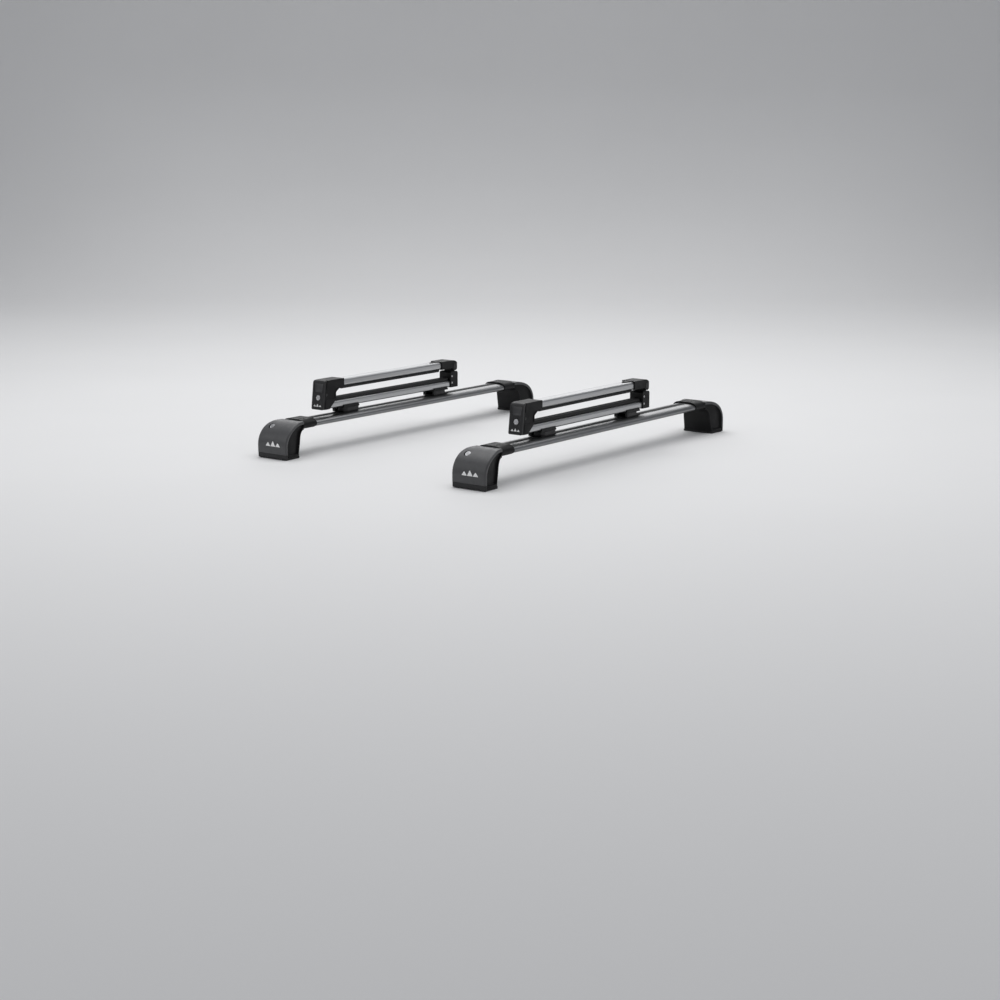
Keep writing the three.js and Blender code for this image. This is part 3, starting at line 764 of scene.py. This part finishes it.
def build_clamp(bar):
    low, high = (Vector(c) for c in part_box(f"{bar}_latch_cover"))
    at = Matrix.Translation(((low.x + high.x) / 2, low.y, low.z))
    arm = f"{bar}_arm"

    def put(mesh, name, material, body, replaced=(), **looks):
        place(mesh, f"{bar}_{name}", at, material, body, [f"{bar}_{node}" for node in replaced], **looks)

    def beam(outline, node):
        a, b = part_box(f"{bar}_{node}")
        start = low.y * 1000
        return prism(outline, "y", a.y * 1000 - start, b.y * 1000 - start, 3)

    drawn = {"bevel": 0.25, "segments": 2, "angle": 50}
    put(beam(arm_outline(), "lower_arm"), "lower_beam", ALUMINIUM, "rack", ["lower_arm"], **drawn)
    put(beam(over(arm_outline()), "upper_arm"), "upper_beam", ALUMINIUM, arm, ["upper_arm"], **drawn)
    put(housing(), "housing_shell", BLACK, arm, ["latch_housing"], bevel=0.7)
    put(panel(), "front_panel", PANEL, arm, ["latch_cover"], bevel=0.9, segments=4)
    put(button(), "thumb_button", BUTTON, f"{bar}_button", ["release_button"], bevel=0.5)

    # The lock ring fills the gap round the panel's key barrel; its near-black colour is painted shade for
    # that recess.
    ring = turned([(11.1, -4.5), (11.1, -0.6), (10.4, -0.2), (9.0, -0.2)])
    ring = boolean(ring, [turned([(8.0, -6), (8.0, 2)])])
    put(moved(ring, panel_frame()), "lock_ring", RECESS_SHADE, arm, bevel=0.2, segments=2)
    face = [(7.0, -0.35), (5.2, -0.3), (4.9, -0.7), (2.6, -0.7), (2.3, -0.4)]
    key_slot = prism([(-0.5, -2), (0.5, -2), (0.5, 2), (-0.5, 2)], "z", -4, 1)
    barrel = moved(boolean(turned([(7.6, -8), (7.6, -1.0)] + face), [key_slot]), panel_frame())
    put(barrel, "key_barrel", STEEL, f"{bar}_key_lock", ["lock_cylinder"], bevel=0.12, segments=2)

    mark_z = 8.6
    mark = join(peaks(30, 7.2, 0.2))
    mark.transform(Matrix.Rotation(-math.atan(LEAN), 4, "X"))
    mark.transform(Matrix.Translation((0, 0.2 + mark_z * LEAN, mark_z)))
    put(mark, "panel_mark", MARK, arm, bevel=0.08, segments=2)

    plug = turned([(3.6, -1.5), (3.6, 0.3), (3.1, 0.6), (1.2, 0.6), (1.0, 0.35)], 28)
    for sign, word in ((1, "a"), (-1, "b")):
        placed = moved(plug, sideways(sign, 18, 42, 21.3))
        put(placed, f"hook_plug_{word}", PANEL, arm, bevel=0.1, segments=2)

    put(hinge_shell(), "hinge_shell", BLACK, arm, ["hinge_cap"], bevel=0.9)
    tongue = rounded([(-10, 535), (-2.6, 503), (2.6, 503), (10, 535)], [0, 2, 2, 0])
    put(prism(tongue, "z", 80.25, 81.9), "hinge_tongue", BLACK, arm, bevel=0.5)
    disc = turned([(8.6, -0.5), (8.6, 0.5), (7.9, 0.9), (6.6, 0.9), (6.3, 0.4), (3.4, 0.4), (3.1, 0.7)])
    base_screw = screw(2.8)
    for sign, word in ((1, "a"), (-1, "b")):
        placed = moved(disc, sideways(sign, HINGE_Y, HINGE_Z))
        put(placed, f"pivot_disc_{word}", LEVER, arm, bevel=0.1, segments=2)
        for k, z in enumerate((14, 34)):
            placed = moved(base_screw, sideways(sign, 583, z))
            put(placed, f"base_screw_{word}{k + 1}", STEEL, "rack", bevel=0.08, segments=2)


def dress_carried(node, material, bevel):
    """A CAD node that stays: its hard edges are eased, and it gets its real material."""
    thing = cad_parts[node]
    thing.data.materials.clear()
    thing.data.materials.append(material)
    weld = thing.modifiers.new("weld", "WELD")
    weld.merge_threshold = 0.00001
    edge = thing.modifiers.new("edge", "BEVEL")
    edge.width = bevel * 0.001
    edge.segments = 3
    edge.limit_method = "ANGLE"
    edge.angle_limit = math.radians(32)
    even = thing.modifiers.new("even", "WEIGHTED_NORMAL")
    even.keep_sharp = True


CARRIED = (
    ("lower_rubber", RUBBER, 0.5), ("upper_rubber", RUBBER, 0.5), ("latch_hook", STEEL, 0.3),
    ("striker", STEEL, 0.4), ("near_end_cap", BLACK, 0.8), ("hinge_base", BLACK, 1.2),
    ("hinge_post", BLACK, 0.7), ("near_mount", BLACK, 1.0), ("far_mount", BLACK, 1.0),
    ("near_lever", LEVER, 1.2), ("far_lever", LEVER, 1.2),
    ("near_foot_jaw", STEEL, 0.5), ("far_foot_jaw", STEEL, 0.5),
)
for bar in BARS:
    build_load_bar(bar)
    build_clamp(bar)
    for node, material, bevel in CARRIED:
        dress_carried(f"{bar}_{node}", material, bevel)
build_feet()


# ---------------------------------------------------------------- stage, light and camera
def build_stage():
    """A floor that curves up into a wall, square to the camera's view."""
    half, flat, rise, bend = 9.0, 4.0, 6.0, 2.0
    rows = [(-half, 0.0), (flat, 0.0)]
    for k in range(1, 11):
        a = math.radians(9 * k)
        rows.append((flat + bend * math.sin(a), bend - bend * math.cos(a)))
    rows.append((flat + bend, rise))
    points, faces = [], []
    turn = Matrix.Rotation(math.radians(37.3), 3, "Z")
    for y, z in rows:
        points += [turn @ Vector((-half, y, z)), turn @ Vector((half, y, z))]
    for k in range(len(rows) - 1):
        faces.append((2 * k, 2 * k + 1, 2 * k + 3, 2 * k + 2))
    mesh = bpy.data.meshes.new("studio_floor")
    mesh.from_pydata(points, [], faces)
    mesh.materials.append(floor_paint("studio_paint"))
    mesh.shade_smooth()
    floor = bpy.data.objects.new("studio_floor", mesh)
    bpy.context.scene.collection.objects.link(floor)


def area_light(name, where, target, size, power, spread=180):
    lamp = bpy.data.lights.new(name, "AREA")
    lamp.shape = "RECTANGLE"
    lamp.size, lamp.size_y = size
    lamp.energy = power
    lamp.spread = math.radians(spread)
    holder = bpy.data.objects.new(name, lamp)
    holder.location = where
    holder.rotation_euler = (Vector(target) - Vector(where)).to_track_quat("-Z", "Y").to_euler()
    holder.visible_camera = False
    bpy.context.scene.collection.objects.link(holder)


def build_lights():
    """A broad light overhead, one behind and one at the left, in a softly lit room."""
    world = bpy.data.worlds.new("soft_room")
    world.use_nodes = True
    background = world.node_tree.nodes["Background"]
    background.inputs["Color"].default_value = (0.93, 0.95, 1.0, 1)
    background.inputs["Strength"].default_value = 0.33
    bpy.context.scene.world = world
    area_light("overhead", (-0.2, 0.4, 3.4), (0, 0, 0), (5.0, 4.2), 120)
    area_light("back_window", (-3.3, 4.4, 2.2), (0, 0, 0.1), (5.0, 1.8), 30, 140)
    area_light("left_window", (-2.6, -3.2, 2.0), (0, 0, 0.1), (2.4, 1.6), 12)
    bpy.context.scene.view_settings.view_transform = "Standard"


def build_camera():
    camera = bpy.data.objects.new("camera", bpy.data.cameras.new("camera"))
    camera.data.lens = 66.6
    camera.data.sensor_width = 36
    camera.data.clip_end = 60
    camera.location = (3.2044, -4.1956, 0.9216)
    turn, dip = math.radians(37.33), math.radians(11.64)
    way = Vector((-math.sin(turn) * math.cos(dip), math.cos(turn) * math.cos(dip), -math.sin(dip)))
    camera.rotation_euler = way.to_track_quat("-Z", "Y").to_euler()
    bpy.context.scene.collection.objects.link(camera)
    bpy.context.scene.camera = camera


build_stage()
build_lights()
build_camera()
